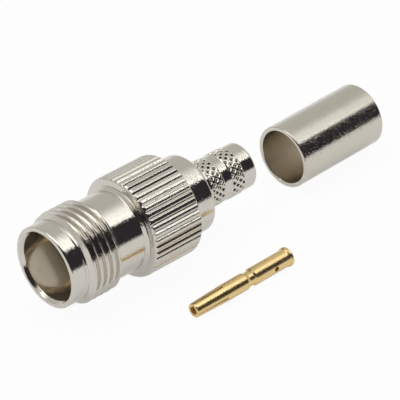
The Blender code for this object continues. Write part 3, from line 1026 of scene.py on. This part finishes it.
@dataclass
class SocketContact:
    """The gold-plated socket contact: slotted front, neck, crimp barrel and lip."""

    length: float = 14.44 * MM
    tip_radius: float = 0.86 * MM
    tip_round: float = 0.14 * MM
    tip_flat_share: float = 0.8
    front_radius: float = 1.02 * MM
    taper_length: float = 4.80 * MM
    front_length: float = 7.60 * MM
    socket_wall: float = 0.38 * MM
    socket_depth: float = 4.90 * MM
    socket_chamfer: float = 0.04 * MM
    drill_point: float = 0.25 * MM
    ease: float = 0.05 * MM
    ease_drop: float = 0.02 * MM
    taper_drop: float = 0.002 * MM
    neck_radius: float = 0.86 * MM
    neck_start: float = 8.00 * MM
    barrel_start: float = 8.70 * MM
    barrel_radius: float = 1.05 * MM
    barrel_chamfer: float = 0.08 * MM
    crimp_radius: float = 0.72 * MM
    crimp_depth: float = 4.20 * MM
    lip_radius: float = 1.17 * MM
    lip_length: float = 0.34 * MM
    lip_cone: float = 0.14 * MM
    lip_round: float = 0.08 * MM
    slot_width: float = 0.17 * MM
    slot_tip_width: float = 0.05 * MM
    slot_length: float = 4.40 * MM
    roll: float = math.radians(1.5)
    hole_radius: float = 0.26 * MM
    hole_mouth_radius: float = 0.36 * MM
    hole_setback: float = 2.64 * MM
    hole_angle: float = math.radians(175)
    hole_segments: int = 32
    yaw: float = math.radians(0.23)
    columns: int = 128

    def place(self) -> Placement:
        """Reads the contact's place from its box: it rests on its widest front and on its lip.

        Returns:
            Where its axis lies.
        """
        low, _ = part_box("center_contact")
        to_lip = self.length - self.lip_length - self.taper_length
        rise = math.atan2(self.lip_radius - self.front_radius, to_lip)
        level = math.cos(rise)
        tip_height = self.front_radius * level - self.taper_length * math.sin(rise)
        lip_side = low.y + self.lip_radius
        tip_side = lip_side - (self.length - self.lip_length) * level * math.sin(self.yaw)
        tip_station = low.x + self.tip_radius * math.sin(rise) * self.tip_flat_share
        return Placement(Vector((tip_station, tip_side, tip_height)), self.yaw, rise)

    def profile(self) -> list[tuple[float, float]]:
        """Gives the outline from the bottom of the socket round to the bottom of the crimp bore.

        Returns:
            Its points, as station and radius.
        """
        lip_start = self.length - self.lip_length
        ease = self.ease
        return [
            (self.socket_depth + self.drill_point, 0.0),
            (self.socket_depth, self.front_radius - self.socket_wall),
            (self.socket_chamfer, self.tip_radius - self.socket_wall),
            (0.0, self.tip_radius - self.socket_wall + self.socket_chamfer),
            *eased((0.0, self.tip_radius), Turn.OUTWARD, Turn.REARWARD, self.tip_round, 7),
            (self.taper_length - ease, self.front_radius - self.taper_drop),
            (self.taper_length + ease, self.front_radius),
            (self.front_length - ease, self.front_radius),
            (self.front_length + ease, self.front_radius - self.ease_drop),
            (self.neck_start - ease, self.neck_radius + self.ease_drop),
            (self.neck_start + ease, self.neck_radius),
            (self.barrel_start - ease / 2, self.neck_radius),
            (self.barrel_start, self.neck_radius + ease / 2),
            (self.barrel_start + self.barrel_chamfer, self.barrel_radius - self.barrel_chamfer),
            (self.barrel_start + 2 * self.barrel_chamfer, self.barrel_radius),
            (lip_start - self.lip_cone, self.barrel_radius),
            (lip_start - self.lip_cone / 2, self.barrel_radius + ease),
            (lip_start, self.lip_radius),
            *eased((self.length, self.lip_radius), Turn.REARWARD, Turn.INWARD, self.lip_round),
            (self.length, self.crimp_radius),
            (self.length - self.crimp_depth, self.crimp_radius),
            (self.length - self.crimp_depth - self.drill_point, 0.0),
        ]

    def cut(self, piece: Object, shape: bmesh.types.BMesh, place: Placement) -> None:
        """Cuts one shape out of the piece.

        Args:
            piece: The piece.
            shape: The shape, given on the contact's own axis, which is used up.
            place: Where that axis lies.
        """
        mesh = bpy.data.meshes.new("cutter")
        shape.to_mesh(mesh)
        shape.free()
        mesh.transform(place.matrix())
        blade = add_object("cutter", mesh)
        modifier = piece.modifiers.new("cut", "BOOLEAN")
        modifier.operation = "DIFFERENCE"
        modifier.object = blade
        evaluated = piece.evaluated_get(bpy.context.evaluated_depsgraph_get())
        piece.data = bpy.data.meshes.new_from_object(evaluated)
        piece.modifiers.clear()
        bpy.data.objects.remove(blade)

    def build(self, place: Placement) -> Object:
        """Builds the contact, and cuts its slots and its inspection hole.

        Args:
            place: Where its axis lies.

        Returns:
            The new piece.
        """
        mesh = TurnedMesh().add(turned(self.profile()), even_angles(self.columns))
        piece = mesh.piece("gold_contact", place)
        shape = bmesh.new()
        shape.from_mesh(piece.data)
        bmesh.ops.remove_doubles(shape, verts=shape.verts, dist=SAME_POINT)
        shape.to_mesh(piece.data)
        shape.free()
        for quarter in range(2):
            blade = bmesh.new()
            bmesh.ops.create_cube(blade, size=1.0)
            # The blade widens from the tip, where the contact's fingers are pressed together
            for corner in blade.verts:
                behind = corner.co.x > 0
                width = self.slot_width if behind else self.slot_tip_width
                station = self.slot_length if behind else -self.tip_round
                corner.co = (station, corner.co.y * 4 * self.front_radius, corner.co.z * width)
            turn = Matrix.Rotation(self.roll + quarter * math.pi / 2, 3, "X")
            bmesh.ops.rotate(blade, matrix=turn, verts=blade.verts)
            self.cut(piece, blade, place)
        drill = bmesh.new()
        bmesh.ops.create_cone(
            drill,
            cap_ends=True,
            segments=self.hole_segments,
            radius1=self.hole_radius,
            radius2=self.hole_mouth_radius,
            depth=2 * self.barrel_radius,
        )
        out = Vector((0, math.cos(self.hole_angle), math.sin(self.hole_angle)))
        bmesh.ops.rotate(drill, matrix=out.to_track_quat("Z", "Y").to_matrix(), verts=drill.verts)
        middle = Vector((self.length - self.hole_setback, 0, 0)) + self.barrel_radius * out
        bmesh.ops.translate(drill, vec=middle, verts=drill.verts)
        self.cut(piece, drill, place)
        piece.data.shade_smooth()
        piece.data.set_sharp_from_angle(angle=SHARP_ANGLE)
        return piece

    def dress(self, piece: Object, place: Placement) -> None:
        """Gilds the contact, more thinly in its two bores, where its colour is painted lighter."""
        show(piece, "center_contact", GOLD)
        refinish(piece, CONTACT_BORE_PAINTED_LIGHTER, place, self.inside)

    def inside(self, station: float, radius: float, inwards: bool) -> bool:
        """Says if a face belongs to one of the two bores."""
        return inwards


class Bearing(Enum):
    """The ways to tell where in the surroundings a direction points."""

    AZIMUTH = "degrees round from +X"
    ELEVATION = "degrees above the table"
    RIGHTWARD = "run towards +X for each unit of height"
    EDGEWARD = "run away from the diffuser's front edge, which lies askew, for each unit of height"


@dataclass(frozen=True)
class Window:
    """A range of one bearing, with a soft edge at each end.

    A limit far outside the bearing's range leaves that end open.
    """

    bearing: Bearing
    low: float
    high: float
    low_soft: float
    high_soft: float


@dataclass(frozen=True)
class Panel:
    """One patch of the studio's surroundings, seen through all of its windows at once."""

    colour: str
    strength: float
    windows: tuple[Window, ...]


ROOM_DARK = "#363337"
DIFFUSER_WHITE = "#fffefb"
OVERHEAD = Window(Bearing.ELEVATION, 5.0, 100.0, 2.0, 1.0)
"""All that lies above the foot of the walls."""
SEAMS = ((0.002, 0.013), (-0.093, 0.015), (-0.158, 0.018), (-0.214, 0.022))
"""The middle and the half width of each seam in the diffuser's front edge, away from that edge."""


@dataclass
class Studio:
    """White table, surroundings and camera."""

    camera_distance: float = 364.13 * MM
    camera_heading: float = math.radians(47.47)
    camera_pitch: float = math.radians(35.546)
    lens: float = 281.8
    sensor_width: float = 36.0
    clipping: tuple[float, float] = (10 * MM, 5000 * MM)
    aim: tuple[float, float, float] = (2.344 * MM, 7.642 * MM, 0.0)
    table_radius: float = 600 * MM
    table_columns: int = 96
    card_colour: str = "#fdfcfb"
    seen_glow: float = 0.95
    mirrored_glow: float = 0.5
    edge_skew: float = 0.5
    least_height: float = 0.0001
    wall_colour: str = "#d2d0cb"
    panels: tuple[Panel, ...] = (
        # The foot of the walls, which picks up light from the table
        Panel("#ffffff", 0.78, (Window(Bearing.ELEVATION, -100.0, 3.0, 1.0, 9.0),)),
        # The diffuser overhead, which fades out to the right and to the back
        Panel(DIFFUSER_WHITE, 3.05, (
            OVERHEAD,
            Window(Bearing.RIGHTWARD, -1.0, 0.6, 0.2, 0.5),
            Window(Bearing.EDGEWARD, -0.28, 0.31, 0.01, 0.42),
        )),
        # The lamps behind the diffuser's front edge, which shine through it
        Panel(DIFFUSER_WHITE, 3.8, (
            OVERHEAD,
            Window(Bearing.RIGHTWARD, 0.35, 1.1, 0.15, 0.15),
            Window(Bearing.EDGEWARD, -0.28, -0.04, 0.01, 0.03),
        )),
        # The seams in the diffuser's front edge, where it is gathered
        *(
            Panel(ROOM_DARK, 1.0, (
                OVERHEAD,
                Window(Bearing.RIGHTWARD, -1.2, 1.3, 0.3, 0.2),
                Window(Bearing.EDGEWARD, seam - half_width, seam + half_width, 0.01, 0.01),
            ))
            for seam, half_width in SEAMS
        ),
        # The dark room beyond the open left side, as high as the diffuser's left edge
        Panel(ROOM_DARK, 1.0, (
            Window(Bearing.ELEVATION, 3.0, 43.5, 3.0, 2.0),
            Window(Bearing.AZIMUTH, -1000.0, -30.0, 1.0, 3.0),
        )),
        # The dark room beyond the open front, below the diffuser's front edge
        Panel(ROOM_DARK, 1.0, (
            Window(Bearing.ELEVATION, 3.0, 100.0, 3.0, 1.0),
            Window(Bearing.EDGEWARD, -1000.0, -0.30, 1.0, 0.02),
            Window(Bearing.AZIMUTH, -170.0, -30.0, 3.0, 3.0),
        )),
    )

    def bearings(self, tree: NodeTree) -> dict[Bearing, NodeSocket]:
        """Adds the nodes that turn a direction into its bearings.

        Args:
            tree: The world's node tree.

        Returns:
            The output that gives each bearing.
        """
        direction = add_node(tree, "ShaderNodeTexCoord").outputs["Generated"]
        x, y, z = add_node(tree, "ShaderNodeSeparateXYZ", {"Vector": direction}).outputs
        azimuth = add_node(tree, "ShaderNodeMath", {0: y, 1: x}, operation="ARCTAN2")
        elevation = add_node(tree, "ShaderNodeMath", {0: z}, operation="ARCSINE")
        # A least height keeps the runs finite at the horizon and below it
        height = add_node(tree, "ShaderNodeMath", {0: z, 1: self.least_height}, operation="MAXIMUM")
        askew = add_node(tree, "ShaderNodeMath", {0: x, 1: self.edge_skew, 2: y}, operation="MULTIPLY_ADD")
        sums = {
            Bearing.AZIMUTH: ("DEGREES", azimuth.outputs[0], 0.0),
            Bearing.ELEVATION: ("DEGREES", elevation.outputs[0], 0.0),
            Bearing.RIGHTWARD: ("DIVIDE", x, height.outputs[0]),
            Bearing.EDGEWARD: ("DIVIDE", askew.outputs[0], height.outputs[0]),
        }
        made = {}
        for bearing, (kind, first, second) in sums.items():
            made[bearing] = add_node(tree, "ShaderNodeMath", {0: first, 1: second}, operation=kind).outputs[0]
        return made

    def build_surroundings(self) -> None:
        """Paints the surroundings by direction: pale walls, the overhead diffuser and the dark room."""
        world = bpy.data.worlds.new("studio")
        bpy.context.scene.world = world
        tree = empty_tree(world)
        bearings = self.bearings(tree)
        colour: Any = linear(self.wall_colour)
        for panel in self.panels:
            mask: Any = 1.0
            for window in panel.windows:
                for edge, soft, before, after in (
                    (window.low, window.low_soft, 0.0, 1.0),
                    (window.high, window.high_soft, 1.0, 0.0),
                ):
                    step = add_node(tree, "ShaderNodeMapRange", {
                        "Value": bearings[window.bearing],
                        "From Min": edge - soft,
                        "From Max": edge + soft,
                        "To Min": before,
                        "To Max": after,
                    }, interpolation_type="SMOOTHSTEP")
                    both = {0: mask, 1: step.outputs["Result"]}
                    mask = add_node(tree, "ShaderNodeMath", both, operation="MULTIPLY").outputs[0]
            lit = {"Factor": mask, "A": colour, "B": linear(panel.colour, panel.strength)}
            colour = add_node(tree, "ShaderNodeMix", lit, data_type="RGBA").outputs["Result"]
        seen = add_node(tree, "ShaderNodeLightPath").outputs["Is Camera Ray"]
        plain = {"Factor": seen, "A": colour, "B": (1.0, 1.0, 1.0, 1.0)}
        shown = add_node(tree, "ShaderNodeMix", plain, data_type="RGBA")
        background = add_node(tree, "ShaderNodeBackground", {"Color": shown.outputs["Result"]})
        add_node(tree, "ShaderNodeOutputWorld", {"Surface": background.outputs[0]})

    def build_table(self) -> Object:
        """Makes the white table, which the camera sees as plain white with a faint shadow.

        Returns:
            The table, which is only staged.
        """
        shape = bmesh.new()
        bmesh.ops.create_circle(shape, cap_ends=True, segments=self.table_columns, radius=self.table_radius)
        mesh = bpy.data.meshes.new("table")
        shape.to_mesh(mesh)
        shape.free()
        table = add_object("table", mesh)
        material = bpy.data.materials.new("white_card")
        tree = empty_tree(material)
        # Matt white card: dull, and so bright that the eye sees only a faint shadow on it
        card = add_node(tree, "ShaderNodeBsdfDiffuse", {"Color": linear(self.card_colour)})
        glow = add_node(tree, "ShaderNodeEmission", {"Color": (1.0, 1.0, 1.0, 1.0)})
        ray = add_node(tree, "ShaderNodeLightPath").outputs
        mirrored = {0: ray["Is Glossy Ray"], 1: self.mirrored_glow}
        dimmed = add_node(tree, "ShaderNodeMath", mirrored, operation="MULTIPLY")
        seen = {0: ray["Is Camera Ray"], 1: self.seen_glow, 2: dimmed.outputs[0]}
        share = add_node(tree, "ShaderNodeMath", seen, operation="MULTIPLY_ADD")
        shaders = {0: share.outputs[0], 1: card.outputs[0], 2: glow.outputs[0]}
        surface = add_node(tree, "ShaderNodeMixShader", shaders)
        add_node(tree, "ShaderNodeOutputMaterial", {"Surface": surface.outputs[0]})
        mesh.materials.append(material)
        return table

    def build_camera(self) -> Object:
        """Sets the camera where the photograph was taken from.

        Returns:
            The camera.
        """
        level = math.cos(self.camera_pitch)
        ahead = Vector((
            math.cos(self.camera_heading) * level,
            math.sin(self.camera_heading) * level,
            -math.sin(self.camera_pitch),
        ))
        data = bpy.data.cameras.new("camera")
        data.lens = self.lens
        data.sensor_width = self.sensor_width
        data.clip_start, data.clip_end = self.clipping
        camera = add_object("camera", data)
        camera.location = Vector(self.aim) - ahead * self.camera_distance
        camera.rotation_mode = "QUATERNION"
        camera.rotation_quaternion = ahead.to_track_quat("-Z", "Y")
        bpy.context.scene.camera = camera
        return camera


def main() -> None:
    logging.basicConfig(level=logging.INFO, format="%(name)s: %(message)s")
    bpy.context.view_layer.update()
    bpy.context.scene.view_settings.view_transform = "Standard"
    studio = Studio()
    studio.build_camera()
    studio.build_surroundings()
    studio.build_table()

    for part in (JackShell(), RearBody(), Insulator(), CrimpFerrule(), SocketContact()):
        place = part.place()
        piece = part.build(place)
        part.dress(piece, place)
        log.info("%s: %d faces", piece.name, len(piece.data.polygons))


if __name__ == "__main__":
    main()
